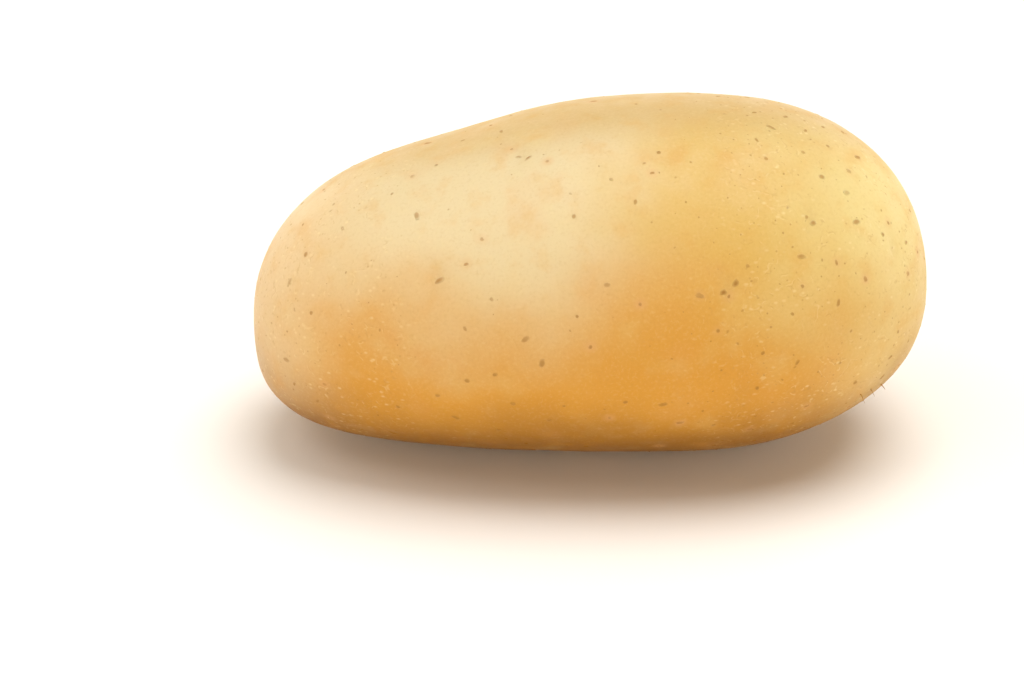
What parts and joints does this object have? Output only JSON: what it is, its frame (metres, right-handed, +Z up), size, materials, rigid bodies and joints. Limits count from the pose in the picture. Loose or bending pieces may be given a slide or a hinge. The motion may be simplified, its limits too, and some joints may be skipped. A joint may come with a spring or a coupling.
{
  "type": "potato",
  "caption": "Whole washed long-oval potato, thick at its bud end and tapered at its stem end, lying on its side on a small flat spot.",
  "frame": {"origin": "middle of the bottom of the bounding box, in the plane of the flat spot that the potato lies on", "axes": "+X along the tuber, from its tapered stem end to its thick bud end; +Y across it, away from the side with the fewest eyes; +Z up as it lies"},
  "size_m": [0.1098, 0.0622, 0.0569],
  "materials": {
    "skin": "thin washed potato skin, pale golden, satin, with small brown lenticels and fine flaking marks"
  },
  "bodies": {
    "root": {"potato": "skin"}
  },
  "joints": []
}
